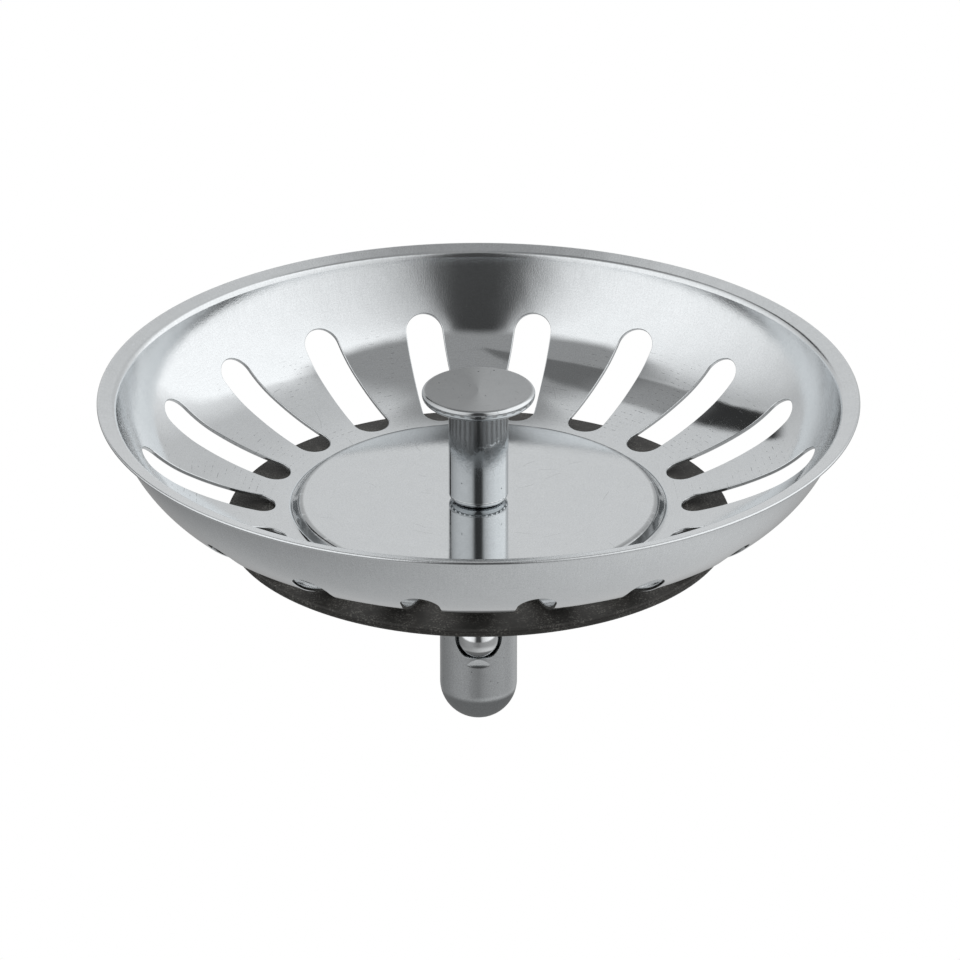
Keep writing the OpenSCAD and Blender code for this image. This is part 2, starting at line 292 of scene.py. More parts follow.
def basket():
    """The bowl: two faces, the edges of its rim and hole, and the walls of its slots."""
    sheet = Sheet()
    dish_x = sheet_bends()[1][0]
    inner_turn = math.asin((SLOT_INNER_R + SLOT_R - dish_x) / DISH_R) - math.radians(FOOT_DEG)
    inner_s = sheet.dish_start + DISH_R * inner_turn
    outer_s = sheet.wall_start + WALL_R * math.radians(SLOT_END_DEG - JOIN_DEG) - SLOT_R
    slot = slot_rows(inner_s, outer_s, SLOT_R + EDGE_R)
    before = [(s, 0.0) for s in [0.0] + sheet.stations(0, slot[0][0])]
    after = [(s, 0.0) for s in sheet.stations(slot[-1][0], sheet.length) + [sheet.length]]
    rows = before + slot + after
    first, last, top = len(before), len(before) + len(slot) - 1, len(rows) - 1
    depths = {"upper": 0.0, "lower": SHEET_T}
    points, normals, faces, known = [], [], [], {}

    def vertex(key, point, normal):
        if key not in known:
            known[key] = len(points)
            points.append(point)
            normals.append(normal / np.linalg.norm(normal))
        return known[key]

    def place(s, depth, way):
        """Point, normal and direction up the sheet, at the angle that way gives for a radius."""
        point, normal, along = sheet.at(s)
        point = point - depth * normal
        angle = way(point[0])
        return spun(point, angle), spun(normal, angle), spun(along, angle)

    def face_vertex(side, j, rib, i):
        """A point of the upper or lower face. A rib runs between two slots."""
        s, half = rows[j]
        if half == 0.0 and i == COLUMNS:
            rib, i = (rib + 1) % SLOT_COUNT, 0

        def way(radius):
            edge = math.asin(half / radius)
            return slot_way(rib) + edge + (SLOT_PITCH - 2 * edge) * i / COLUMNS
        point, normal, _ = place(s, depths[side], way)
        return vertex((side, j, rib, i), point, normal if side == "upper" else -normal)

    for side in depths:
        for j in range(top):
            for rib in range(SLOT_COUNT):
                for i in range(COLUMNS):
                    faces.append([face_vertex(side, j, rib, i),
                                  face_vertex(side, j, rib, i + 1),
                                  face_vertex(side, j + 1, rib, i + 1),
                                  face_vertex(side, j + 1, rib, i)])

    # Rolled edge of the lip, and the edge of the centre hole
    edge_steps = 8
    end_point, end_normal, _ = sheet.at(sheet.length)
    centre = end_point - SHEET_T / 2 * end_normal

    def edge_vertex(k, rib, i):
        if k in (0, edge_steps):
            return face_vertex("upper" if k == 0 else "lower", top, rib, i)
        out = direction(90 + LIP_DEG - 180 * k / edge_steps)
        angle = slot_way(rib + i / COLUMNS)
        point = spun(centre + SHEET_T / 2 * out, angle)
        return vertex(("edge", k, rib, i), point, spun(out, angle))

    ring = [(rib, i) for rib in range(SLOT_COUNT) for i in range(COLUMNS)]
    for a, b in zip(ring, ring[1:] + ring[:1]):
        for k in range(edge_steps):
            faces.append([edge_vertex(k, *a), edge_vertex(k, *b),
                          edge_vertex(k + 1, *b), edge_vertex(k + 1, *a)])
        faces.append([face_vertex("upper", 0, *a), face_vertex("upper", 0, *b),
                      face_vertex("lower", 0, *b), face_vertex("lower", 0, *a)])

    # Section through a slot's wall: a rounded edge, the punched wall, a rounded edge
    edge_turn = math.pi / 2 / SLOT_EDGE_STEPS
    section = [edge_turn * i for i in range(SLOT_EDGE_STEPS + 1)]
    section = [(a, EDGE_R * (1 - math.cos(a))) for a in section]
    section += [(math.pi - a, SHEET_T - depth) for a, depth in reversed(section)]
    outlines = [slot_rows(inner_s, outer_s, SLOT_R + EDGE_R * (1 - math.sin(a))) for a, _ in section]

    def wall_vertex(level, number, side, j):
        """A point of a slot's wall, on its side 1 or -1."""
        if j in (first, last):
            side = 1
        if level in (0, len(section) - 1):
            face = "upper" if level == 0 else "lower"
            if side == 1:
                return face_vertex(face, j, number, 0)
            return face_vertex(face, j, (number - 1) % SLOT_COUNT, COLUMNS)
        turn, depth = section[level]
        s, half = outlines[level][j - first]
        middle = slot_way(number)
        point, normal, along = place(s, depth, lambda r: middle + math.asin(side * half / r))
        across = np.array([-math.sin(middle), math.cos(middle), 0])
        into = min(max(s, inner_s), outer_s) - s
        inward = along * into - across * side * half
        inward /= np.linalg.norm(inward)
        return vertex(("wall", level, number, side, j), point,
                      math.cos(turn) * normal + math.sin(turn) * inward)

    for number in range(SLOT_COUNT):
        for side in (1, -1):
            for j in range(first, last):
                for level in range(len(section) - 1):
                    faces.append([wall_vertex(level, number, side, j),
                                  wall_vertex(level, number, side, j + 1),
                                  wall_vertex(level + 1, number, side, j + 1),
                                  wall_vertex(level + 1, number, side, j)])

    piece = mesh_object("bowl", points, faces, normals)
    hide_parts("basket")
    return piece


# ---------------------------------------------------------------- turned pieces
def knob():
    """One turned piece: the head with its hollow top, the shank and the spigot."""
    hollow_steps, gap, corner, chamfer, root = 12, 0.05, 0.02, 0.3, 0.1
    flat_r, under_x, foot_x = HEAD_R - HEAD_TOP_R, SHANK_R + UNDER_R, SHANK_R - SHANK_FOOT_R
    head_z = KNOB_TOP_Z - HEAD_T
    hollow_r = flat_r ** 2 / (2 * HOLLOW)
    outline = Outline()
    for i in range(hollow_steps + 1):
        r = flat_r * i / hollow_steps
        outline.add((r, KNOB_TOP_Z - HOLLOW + r * r / (2 * hollow_r)), (-r / hollow_r, 1))
    outline.arc((flat_r, KNOB_TOP_Z - HEAD_TOP_R), HEAD_TOP_R, 90, 0, 10)
    outline.arc((HEAD_R - HEAD_LOW_R, head_z + HEAD_LOW_R), HEAD_LOW_R, 0, -90, 12)
    outline.line((HEAD_R - HEAD_LOW_R - gap, head_z), (under_x, head_z), 2)
    outline.arc((under_x, head_z - UNDER_R), UNDER_R, 90, 180, 8, hollow=True)
    outline.line((SHANK_R, head_z - UNDER_R - gap), (SHANK_R, DISC_Z + SHANK_FOOT_R), 8)
    outline.arc((foot_x, DISC_Z + SHANK_FOOT_R), SHANK_FOOT_R, 0, -90, 10)
    outline.line((SPIGOT_R + root, DISC_Z), (SPIGOT_R + corner, DISC_Z))
    outline.line((SPIGOT_R, DISC_Z - gap), (SPIGOT_R, SPIGOT_Z + chamfer), 4)
    outline.line((SPIGOT_R - corner, SPIGOT_Z + chamfer - corner),
                 (SPIGOT_R - chamfer + corner, SPIGOT_Z + corner))
    outline.line((SPIGOT_R - chamfer, SPIGOT_Z), (0, SPIGOT_Z))
    for i, normal in enumerate(outline.normals):
        if outline.points[i][0] == SHANK_R and abs(normal[0]) > 0.9:
            outline.normals[i] = np.array([1.0, 0.0])
    piece = revolve("lift_knob", outline)
    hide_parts("knob")
    return piece


def seal():
    """Moulded rubber disc. A boss fills the hollow under the floor, and the lip droops."""
    boss_r, boss_z, plate_z = DISC_R - 0.9, DISC_Z - SHEET_T, SEAT_Z - 1.7
    round_r, seat_edge_r, edge_r, blend, gap = 0.3, 0.12, 0.2, 0.15, 0.1
    groove_in_r, groove_out_r, groove_depth, draft = 18.7, 19.1, 0.12, 0.005
    parting_r, parting_x, parting_z = 0.05, SEAL_R - 0.06, (SEAL_LIP_Z + SEAL_LOW_Z) / 2
    lip_r = SEAL_R - edge_r
    lip_top = np.array([SEAL_SEAT_R + 0.02, SEAT_Z - blend])
    lip_end = np.array([lip_r, SEAL_LIP_Z])
    slope = math.degrees(math.atan2(lip_top[1] - lip_end[1], lip_end[0] - lip_top[0]))
    outline = Outline()
    outline.line((HOLE_R, boss_z), (boss_r - round_r, boss_z), 3)
    outline.arc((boss_r - round_r, boss_z - round_r), round_r, 90, 0, 5)
    outline.arc((boss_r + round_r, SEAT_Z + round_r), round_r, 180, 270, 5, hollow=True)
    outline.line((boss_r + round_r + gap, SEAT_Z), (SEAL_SEAT_R - blend, SEAT_Z), 4)
    outline.arc((SEAL_SEAT_R - seat_edge_r, SEAT_Z - seat_edge_r), seat_edge_r, 90, 5, 5)
    outline.line(lip_top, lip_end, 10)
    outline.arc((lip_r, SEAL_LIP_Z - edge_r), edge_r, 90 - slope, 20, 5)
    outline.arc((parting_x, parting_z), parting_r, 70, -70, 4)
    outline.arc((lip_r, SEAL_LOW_Z + edge_r), edge_r, -20, -90, 5)
    outline.line((lip_r - gap, SEAL_LOW_Z), (SEAL_SEAT_R + gap, plate_z + draft), 8)
    outline.line((SEAL_SEAT_R - round_r, plate_z), (groove_out_r, plate_z), 3)
    outline.arc((groove_out_r - gap - groove_depth, plate_z), groove_depth, 0, 180, 8, hollow=True)
    outline.line((groove_in_r, plate_z), (HOLE_R, plate_z), 6)
    piece = revolve("seal_disc", outline)
    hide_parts("seal")
    return piece


def washer():
    """Stamped flat washer with rounded edges."""
    low, high = node_box("backing_washer")
    edge_r, hole_edge_r, gap = 0.3, 0.15, 0.05
    outer_x, inner_x = high.x - edge_r, HOLE_R + hole_edge_r
    outline = Outline()
    outline.line((inner_x, high.z), (outer_x, high.z), 6)
    outline.arc((outer_x, high.z - edge_r), edge_r, 90, 0, 6)
    outline.arc((outer_x, low.z + edge_r), edge_r, 0, -90, 6)
    outline.line((outer_x - gap, low.z), (inner_x, low.z), 6)
    outline.arc((inner_x, low.z + hole_edge_r), hole_edge_r, 270, 180, 4)
    outline.arc((inner_x, high.z - hole_edge_r), hole_edge_r, 180, 90, 4)
    piece = revolve("clamp_washer", outline, 160)
    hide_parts("backing_washer")
    return piece


def ball():
    """The ball, turned round the axis of its bore."""
    outline = Outline().arc((0, 0), BALL_R, 90, -90, 48)
    outline.points[0][0] = outline.points[-1][0] = 0.0
    piece = revolve("snap_ball", outline, 96, "ball", (0, BALL_Y, BORE_Z), "-y")
    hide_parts("detent_ball")
    return piece


def stem_outline(rows):
    """Half outline of the stem: tapped hole, shoulder, groove, the bore's rows, round end."""
    hole_r, hole_z, chamfer, edge_r = SPIGOT_R + 0.05, -6.2, 0.3, 0.12
    groove_z, groove_w, groove_depth, corner, gap = -5.6, 0.6, 0.3, 0.04, 0.2
    dome_z = STEM_LOW_Z + STEM_R
    outline = Outline()
    outline.line((0, hole_z), (hole_r - corner, hole_z))
    outline.line((hole_r, hole_z + corner), (hole_r, -chamfer - corner), 4)
    outline.line((hole_r + corner, -chamfer), (hole_r + chamfer - corner, -corner))
    outline.line((hole_r + chamfer, 0), (STEM_R - edge_r, 0), 3)
    outline.arc((STEM_R - edge_r, -edge_r), edge_r, 75, 0, 4)
    outline.line((STEM_R, -edge_r - corner), (STEM_R, groove_z + corner), 8)
    outline.line((STEM_R - corner, groove_z), (STEM_R - groove_depth + corner, groove_z))
    outline.line((STEM_R - groove_depth, groove_z - corner),
                 (STEM_R - groove_depth, groove_z - groove_w + corner))
    outline.line((STEM_R - groove_depth + corner, groove_z - groove_w),
                 (STEM_R - corner, groove_z - groove_w))
    start = len(outline.points)
    outline.line((STEM_R, rows[0]), (STEM_R, rows[-1]), len(rows) - 1)
    outline.line((STEM_R, rows[-1] - gap), (STEM_R, dome_z + gap), 8)
    outline.arc((0, dome_z), STEM_R, 0, -90, 40)
    outline.points[0][0] = outline.points[-1][0] = 0.0
    return outline, start


def stem():
    """Turned stem with the cross bore's mouth, which is staked above and below."""
    sides, half_columns, row_count, half_height = TURN_STEPS, 40, 36, 3.3
    bore_r, mouth_r, stake_gap, edge_r = BALL_R + 0.1, BALL_R + 0.3, 2.04, 0.07
    mouth_y, bore_end_y, tip_y = -2.9, 2.2, 3.1
    punch_r, punch_top, punch_depth, punch_half_w, punch_rim = 3.2, 2.15, 0.28, 1.2, 0.03
    squareness = 24
    rows = [BORE_Z + half_height - 2 * half_height * j / row_count for j in range(row_count + 1)]
    outline, start = stem_outline(rows)
    points, normals, faces = [], [], []

    def add(point, normal):
        points.append(point)
        normals.append(normal)
        return len(points) - 1

    # The turned body. Its columns start at the mouth's middle
    grid = []
    for point, normal in zip(outline.points, outline.normals):
        if point[0] < TINY:
            grid.append([add((0, 0, point[1]), (0, 0, math.copysign(1, normal[1])))] * sides)
            continue
        grid.append([add(spun(point, a), spun(normal, a)) for a in turns(sides, -math.pi / 2)])
    for k, (low, high) in enumerate(zip(grid, grid[1:])):
        beside_bore = start <= k < start + row_count
        columns = range(half_columns, sides - half_columns) if beside_bore else range(sides)
        for i in columns:
            j = (i + 1) % sides
            face = [low[i], low[j], high[j], high[i]]
            faces.append([v for n, v in enumerate(face) if v not in face[:n]])

    # The patch round the mouth, ring by ring from its frame in the turned body
    frame_run = [(i, row_count) for i in range(-half_columns, half_columns)]
    frame_run += [(half_columns, j) for j in range(row_count, 0, -1)]
    frame_run += [(i, 0) for i in range(half_columns, -half_columns, -1)]
    frame_run += [(-half_columns, j) for j in range(row_count)]
    ring = [grid[start + j][i % sides] for i, j in frame_run]
    frame_places = [(STEM_R * 2 * math.pi * i / sides, rows[j] - BORE_Z) for i, j in frame_run]
    half_width = STEM_R * 2 * math.pi * half_columns / sides
    ways = [math.atan2(v / half_height, u / half_width) for u, v in frame_places]

    def mouth(way):
        """Distance out to the mouth's edge, a circle that is cut off above and below."""
        flat = stake_gap / max(abs(math.sin(way)), TINY)
        return (mouth_r ** -squareness + flat ** -squareness) ** (-1 / squareness)

    def punch(x, z):
        """Depth of the punch marks above and below the mouth."""
        if math.hypot(x, z) > punch_r or abs(x) > punch_half_w:
            return 0.0
        depth = punch_depth * (abs(z) - punch_top) / (punch_r - punch_top)
        return max(0.0, depth - (STEM_R - math.sqrt(STEM_R ** 2 - x * x)))

    def on_stem(x, z, depth, round_there):
        """A point at a depth under the round surface. Its normal is known where it is round."""
        a = math.asin(x / STEM_R)
        known = (math.sin(a), -math.cos(a), 0) if round_there else None
        return add((x, depth - STEM_R * math.cos(a), BORE_Z + z), known)

    def close(outer, inner):
        """Faces between two rings of points."""
        for i in range(len(outer)):
            j = (i + 1) % len(outer)
            faces.append([outer[i], outer[j], inner[j], inner[i]])
        return inner

    outside_r, inside_r = punch_r + punch_rim, punch_r - punch_rim
    blend_steps, mark_steps = 7, 12
    for k in range(1, blend_steps + 1):
        t = k / blend_steps
        inner = []
        for way, (u, v) in zip(ways, frame_places):
            ring_u = STEM_R * math.asin(outside_r * math.cos(way) / STEM_R)
            x = STEM_R * math.sin((u + (ring_u - u) * t) / STEM_R)
            z = v + (outside_r * math.sin(way) - v) * t
            inner.append(on_stem(x, z, 0.0, True))
        ring = close(ring, inner)
    for k in range(mark_steps + 1):
        t = k / mark_steps
        inner = []
        for way in ways:
            radius = inside_r + (mouth(way) + edge_r - inside_r) * t
            x, z = radius * math.cos(way), radius * math.sin(way)
            depth = punch(x, z)
            inner.append(on_stem(x, z, depth, depth == 0.0))
        ring = close(ring, inner)
    for turn in (30, 60, 90):
        out, deep = edge_r * (1 - direction(turn)[1]), edge_r * (1 - direction(turn)[0])
        ring = close(ring, [on_stem((mouth(way) + out) * math.cos(way),
                                    (mouth(way) + out) * math.sin(way), deep, False)
                            for way in ways])
    for radius, y in ((mouth_r, mouth_y), (bore_r, mouth_y), (bore_r, bore_end_y)):
        reach = [min(radius, mouth(way)) for way in ways]
        ring = close(ring, [add((r * math.cos(way), y, BORE_Z + r * math.sin(way)), None)
                            for r, way in zip(reach, ways)])
    tip = add((0, tip_y, BORE_Z), None)
    faces.extend([[ring[i], ring[(i + 1) % len(ring)], tip] for i in range(len(ring))])

    piece = mesh_object("sprung_stem", points, faces, normals)
    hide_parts("stem")
    return piece


# ---------------------------------------------------------------- materials
def new_material(name):
    material = bpy.data.materials.new(name)
    material.use_nodes = True
    return material, Nodes(material.node_tree)


class Nodes:
    """Short ways to add shader nodes to one tree."""

    def __init__(self, tree):
        self.tree = tree
        tree.nodes.clear()

    def add(self, kind, inputs=None, **settings):
        node = self.tree.nodes.new(kind)
        for name, value in settings.items():
            setattr(node, name, value)
        for name, value in (inputs or {}).items():
            self.feed(node.inputs[name], value)
        return node

    def feed(self, socket, value):
        if isinstance(value, bpy.types.NodeSocket):
            self.tree.links.new(value, socket)
        else:
            socket.default_value = value

    def math(self, operation, a, b=0.0, c=0.0, clamp=False):
        node = self.add("ShaderNodeMath", {0: a, 1: b, 2: c}, operation=operation)
        node.use_clamp = clamp
        return node.outputs[0]

    def product(self, first, *others):
        for other in others:
            first = self.math("MULTIPLY", first, other)
        return first

    def smooth(self, value, low, high, to_low=0.0, to_high=1.0):
        """Smooth step from one value to another as the input goes from low to high."""
        inputs = {"Value": value, "From Min": low, "From Max": high,
                  "To Min": to_low, "To Max": to_high}
        node = self.add("ShaderNodeMapRange", inputs, interpolation_type="SMOOTHSTEP")
        return node.outputs["Result"]

    def ramp(self, value, stops):
        """Brightness by position, from a list of (position, brightness)."""
        node = self.add("ShaderNodeValToRGB", {"Fac": value})
        ramp = node.color_ramp
        ramp.interpolation = "LINEAR"
        while len(ramp.elements) < len(stops):
            ramp.elements.new(0.5)
        for element, (position, level) in zip(ramp.elements, stops):
            element.position = position
        for element, (position, level) in zip(ramp.elements, stops):
            element.color = (level, level, level, 1)
        return node.outputs["Color"]

    def left(self, share):
        """What a share leaves of 1."""
        return self.math("SUBTRACT", 1.0, share)

    def mix(self, share, a, b):
        """Numbers a and b, mixed by share."""
        return self.math("ADD", self.product(a, self.left(share)), self.product(b, share))

    def tint(self, share, a, b):
        """Colours a and b, mixed by share."""
        node = self.add("ShaderNodeMix", data_type="RGBA")
        self.feed(node.inputs[0], share)
        self.feed(node.inputs[6], a)
        self.feed(node.inputs[7], b)
        return node.outputs[2]

    def centred(self, value):
        """A value from 0 to 1, moved to run from -0.5 to 0.5."""
        return self.math("SUBTRACT", value, 0.5)

    def output(self, surface, kind="ShaderNodeOutputMaterial"):
        self.add(kind, {"Surface": surface.outputs[0]})

    def join(self, x, y, z):
        return self.add("ShaderNodeCombineXYZ", {0: x, 1: y, 2: z}).outputs[0]

    def split(self, vector):
        return self.add("ShaderNodeSeparateXYZ", {0: vector}).outputs

    def noise(self, vector, scale=1.0, detail=3.0, roughness=0.5):
        inputs = {"Vector": vector, "Scale": scale, "Detail": detail, "Roughness": roughness}
        return self.add("ShaderNodeTexNoise", inputs).outputs["Fac"]

    def bump(self, height, metres, below=None):
        """Relief of that height in metres, on top of another one."""
        inputs = {"Height": height, "Strength": 1.0, "Distance": metres}
        if below is not None:
            inputs["Normal"] = below
        return self.add("ShaderNodeBump", inputs).outputs["Normal"]


class Around:
    """Coordinates round an axis: the way round, the distance out, and along."""

    def __init__(self, nodes, centre=(0, 0, 0), axis="z"):
        place = nodes.add("ShaderNodeTexCoord").outputs["Object"]
        offset = [-c * MM for c in centre]
        moved = nodes.add("ShaderNodeVectorMath", {0: place, 1: offset}, operation="ADD")
        self.place = moved.outputs[0]
        x, y, z = nodes.split(self.place)
        if axis == "y":
            y, z = z, y
        square = nodes.math("ADD", nodes.product(x, x), nodes.product(y, y))
        self.out = nodes.math("MAXIMUM", nodes.math("SQRT", square), TINY)
        self.cos, self.sin = nodes.math("DIVIDE", x, self.out), nodes.math("DIVIDE", y, self.out)
        self.along = z
        self.path = nodes.math("ADD", self.out, z)
        lean = 0.6
        self.flat = nodes.join(nodes.math("MULTIPLY_ADD", z, lean, x),
                               nodes.math("MULTIPLY_ADD", z, -lean, y), 0.0)
        self.nodes = nodes

    def rings(self, per_turn, per_metre):
        """A vector whose noise has so many lumps to a turn, and to a metre along the path."""
        nodes = self.nodes
        radius = per_turn / (2 * math.pi)
        return nodes.join(nodes.product(self.cos, radius), nodes.product(self.sin, radius),
                          nodes.product(self.path, per_metre))


class Metal:
    """A metal, built up mark by mark. Lengths in its methods are in metres."""

    def __init__(self, name, roughness, centre=(0, 0, 0), axis="z"):
        self.material, self.nodes = new_material(name)
        self.around = Around(self.nodes, centre, axis)
        self.shade, self.rough, self.relief = 1.0, roughness, None

    def darken(self, share, amount):
        left = self.nodes.math("MULTIPLY_ADD", share, -amount, 1.0)
        self.shade = self.nodes.product(left, self.shade)

    def roughen(self, share, amount):
        self.rough = self.nodes.math("MULTIPLY_ADD", share, amount, self.rough)

    def raise_by(self, height, metres):
        self.relief = self.nodes.bump(height, metres, self.relief)

    def waves(self, per_metre, metres, share=1.0):
        """Slow unevenness, which bends the reflections."""
        height = self.nodes.noise(self.around.place, scale=per_metre, detail=1)
        self.raise_by(self.nodes.product(height, share), metres)

    def grain(self, per_metre, metres, share=1.0, tone=0.2):
        """Fine orange-peel grain."""
        height = self.nodes.noise(self.around.place, scale=per_metre, detail=2, roughness=0.6)
        self.raise_by(self.nodes.product(height, share), metres)
        self.darken(self.nodes.centred(height), tone)

    def turned(self, per_turn, per_metre, metres, tone=0.08):
        """Fine lines round the axis, as a tool or a brush leaves them."""
        fine = self.nodes.noise(self.around.rings(per_turn, per_metre), detail=4, roughness=0.65)
        self.raise_by(fine, metres)
        self.darken(self.nodes.centred(fine), tone)
        self.roughen(self.nodes.centred(fine), 0.06)

    def drawn(self, per_turn, per_metre, metres, share, tone):
        """Streaks up the wall, where the sheet slid over the die."""
        streaks = self.nodes.noise(self.around.rings(per_turn, per_metre), detail=3)
        streaks = self.nodes.product(self.nodes.centred(streaks), share)
        self.raise_by(streaks, metres)
        self.darken(streaks, tone)

    def blotches(self, per_metre, tone, rough):
        """Patches that are a little darker and duller."""
        patch = self.nodes.noise(self.around.place, scale=per_metre, detail=3, roughness=0.6)
        patch = self.nodes.centred(patch)
        self.darken(patch, tone)
        self.roughen(patch, rough)

    def dashes(self, per_turn, gap, width, share, amount):
        """Short dark marks that lie one behind another on rings, a gap apart."""
        nodes, around = self.nodes, self.around
        wander = nodes.noise(around.place, scale=90, detail=1)
        turn = nodes.math("MULTIPLY_ADD", around.path, 1 / gap, nodes.product(wander, 3.0))
        off_ring = nodes.math("ABSOLUTE", nodes.math("SUBTRACT", nodes.math("FRACT", turn), 0.5))
        on_ring = nodes.smooth(off_ring, 0.5 * width / gap, 0.2 * width / gap)
        runs = nodes.noise(around.rings(per_turn, 1 / gap), detail=1)
        runs = nodes.smooth(runs, 0.55, 0.62)
        place = nodes.noise(around.place, scale=170, detail=2)
        mark = nodes.product(on_ring, runs, nodes.smooth(place, 0.42, 0.6), share)
        self.darken(mark, amount)
        self.roughen(mark, 0.2)

    def scratches(self, cell, length, width, amount, share=1.0):
        """Fine bent scratches that lie any way, at most one to a cell."""
        nodes = self.nodes
        cells = nodes.add("ShaderNodeTexVoronoi", {"Vector": self.around.flat, "Scale": 1 / cell},
                          voronoi_dimensions="2D")
        apart = nodes.add("ShaderNodeVectorMath", {0: self.around.flat, 1: cells.outputs["Position"]},
                          operation="SUBTRACT").outputs[0]
        x, y, _ = nodes.split(apart)
        turn, bend, size = nodes.add("ShaderNodeSeparateColor", {0: cells.outputs["Color"]}).outputs
        turn = nodes.product(turn, 2 * math.pi)
        cos, sin = nodes.math("COSINE", turn), nodes.math("SINE", turn)
        along = nodes.math("ADD", nodes.product(x, cos), nodes.product(y, sin))
        beside = nodes.math("SUBTRACT", nodes.product(y, cos), nodes.product(x, sin))
        bend = nodes.product(nodes.centred(bend), along, along, 0.8 / length)
        beside = nodes.math("ABSOLUTE", nodes.math("ADD", beside, bend))
        line = nodes.smooth(beside, width, 0.3 * width)
        reach = nodes.product(size, length / 2)
        ends = nodes.math("LESS_THAN", nodes.math("ABSOLUTE", along), reach)
        mark = nodes.product(line, ends, nodes.math("GREATER_THAN", size, 0.45), share)
        self.darken(mark, amount)
        self.roughen(mark, 0.2)

    def pits(self, cell, size, chance, amount):
        """Tiny round pits."""
        nodes = self.nodes
        cells = nodes.add("ShaderNodeTexVoronoi", {"Vector": self.around.place, "Scale": 1 / cell})
        chosen = nodes.add("ShaderNodeSeparateColor", {0: cells.outputs["Color"]}).outputs[0]
        radius = nodes.product(chosen, size / cell)
        pit = nodes.math("LESS_THAN", cells.outputs["Distance"], radius)
        self.darken(nodes.product(pit, nodes.math("GREATER_THAN", chosen, 1 - chance)), amount)

    def done(self, tone):
        nodes = self.nodes
        colour = nodes.add("ShaderNodeVectorMath", {0: tone, "Scale": self.shade}, operation="SCALE")
        shader = nodes.add("ShaderNodeBsdfPrincipled", {
            "Base Color": colour.outputs[0], "Roughness": self.rough, "Normal": self.relief,
            "Metallic": 1.0})
        nodes.output(shader)
        return self.material


STEEL, BALL_STEEL = (0.646, 0.668, 0.682), (0.69, 0.705, 0.715)


def bowl_steel():
    """Pressed sheet: smooth on the floor, and grainy where the wall was drawn."""
    metal = Metal("bowl_steel", roughness=0.06)
    nodes, out = metal.nodes, metal.around.out
    wall = nodes.smooth(out, (DISC_R + 4) * MM, (RIM_R - 3) * MM)
    top = nodes.smooth(out, (RIM_R - 6) * MM, (RIM_R - 2) * MM)
    ribs = nodes.product(nodes.smooth(out, (DISC_R + 1) * MM, (DISC_R + 5) * MM),
                         nodes.smooth(out, (RIM_R - 4) * MM, (RIM_R - 8) * MM))
    floor = nodes.left(wall)
    mostly_top = nodes.math("MULTIPLY_ADD", top, 0.8, 0.2)
    mostly_wall = nodes.math("MULTIPLY_ADD", wall, 0.8, 0.1)
    metal.waves(per_metre=240, metres=4e-5, share=mostly_wall)
    metal.grain(per_metre=8500, metres=6e-6, share=mostly_top, tone=0.45)
    metal.turned(per_turn=40, per_metre=6000, metres=2e-7)
    metal.drawn(per_turn=1500, per_metre=500, metres=1.2e-6, share=top, tone=0.13)
    metal.blotches(per_metre=420, tone=0.07, rough=0.05)
    metal.dashes(per_turn=400, gap=0.9e-3, width=0.10e-3, share=ribs, amount=0.55)
    metal.scratches(cell=5e-3, length=2.2e-3, width=0.03e-3, amount=0.3, share=floor)
    metal.pits(cell=1.5e-3, size=0.06e-3, chance=0.15, amount=0.5)
    metal.roughen(top, 0.08)
    # Painted shade: the crease round the foot of the raised floor, from its rounded edge down the
    # step, is made darker in uneven patches.
    shade_patches = nodes.noise(metal.around.place, scale=900, detail=4, roughness=0.65)
    corner = nodes.product(nodes.smooth(out, (DISC_R - 0.3) * MM, DISC_R * MM),
                           nodes.smooth(out, (DISC_R + 1.3) * MM, (DISC_R + 0.5) * MM),
                           nodes.smooth(shade_patches, 0.2, 0.5))
    metal.darken(corner, 0.4)
    return metal.done(STEEL)


def knob_steel():
    """Turned and polished, with a satin top, and painted shade under the head."""
    metal = Metal("knob_steel", roughness=0.055)
    nodes, around = metal.nodes, metal.around
    face = nodes.product(nodes.smooth(around.out, (HEAD_R - 0.15) * MM, (HEAD_R - 0.4) * MM),
                         nodes.math("GREATER_THAN", around.along, (KNOB_TOP_Z - 0.5) * MM))
    metal.waves(per_metre=700, metres=6e-6)
    metal.grain(per_metre=6500, metres=2.5e-6)
    metal.turned(per_turn=30, per_metre=9000, metres=3e-7)
    metal.blotches(per_metre=800, tone=0.08, rough=0.05)
    metal.scratches(cell=1.6e-3, length=0.8e-3, width=0.02e-3, amount=0.35)
    metal.pits(cell=0.8e-3, size=0.09e-3, chance=0.25, amount=0.75)
    metal.darken(face, 0.42)
    metal.roughen(face, 0.25)

    # Painted shade on the shank under the head. It ends 4 to 5 mm under the head, unevenly and with
    # dark specks, and reaches lower on the left
    head_z = (KNOB_TOP_Z - HEAD_T) * MM
    uneven, fine, lower_left = 4 * MM, 2.5 * MM, -0.5 * MM
    wander = nodes.noise(around.place, scale=500, detail=3, roughness=0.6)
    specks = nodes.noise(around.place, scale=4200, detail=2)
    wander = nodes.centred(wander)
    specks = nodes.centred(specks)
    height = nodes.math("MULTIPLY_ADD", wander, uneven, around.along)
    height = nodes.math("ADD", height, nodes.product(around.cos, lower_left))
    height = nodes.math("MULTIPLY_ADD", specks, fine, height)
    shade_under_head = nodes.smooth(height, head_z - 4.7 * MM, head_z - 4.0 * MM)
    shade_under_head = nodes.product(shade_under_head, nodes.math("LESS_THAN", around.along, head_z - 0.05 * MM))
    metal.darken(shade_under_head, 0.6)
    metal.roughen(shade_under_head, 0.13)
    # The left side of the knob is made darker as well.
    metal.darken(nodes.smooth(around.cos, 0.3, -0.4), 0.3)
    return metal.done(STEEL)


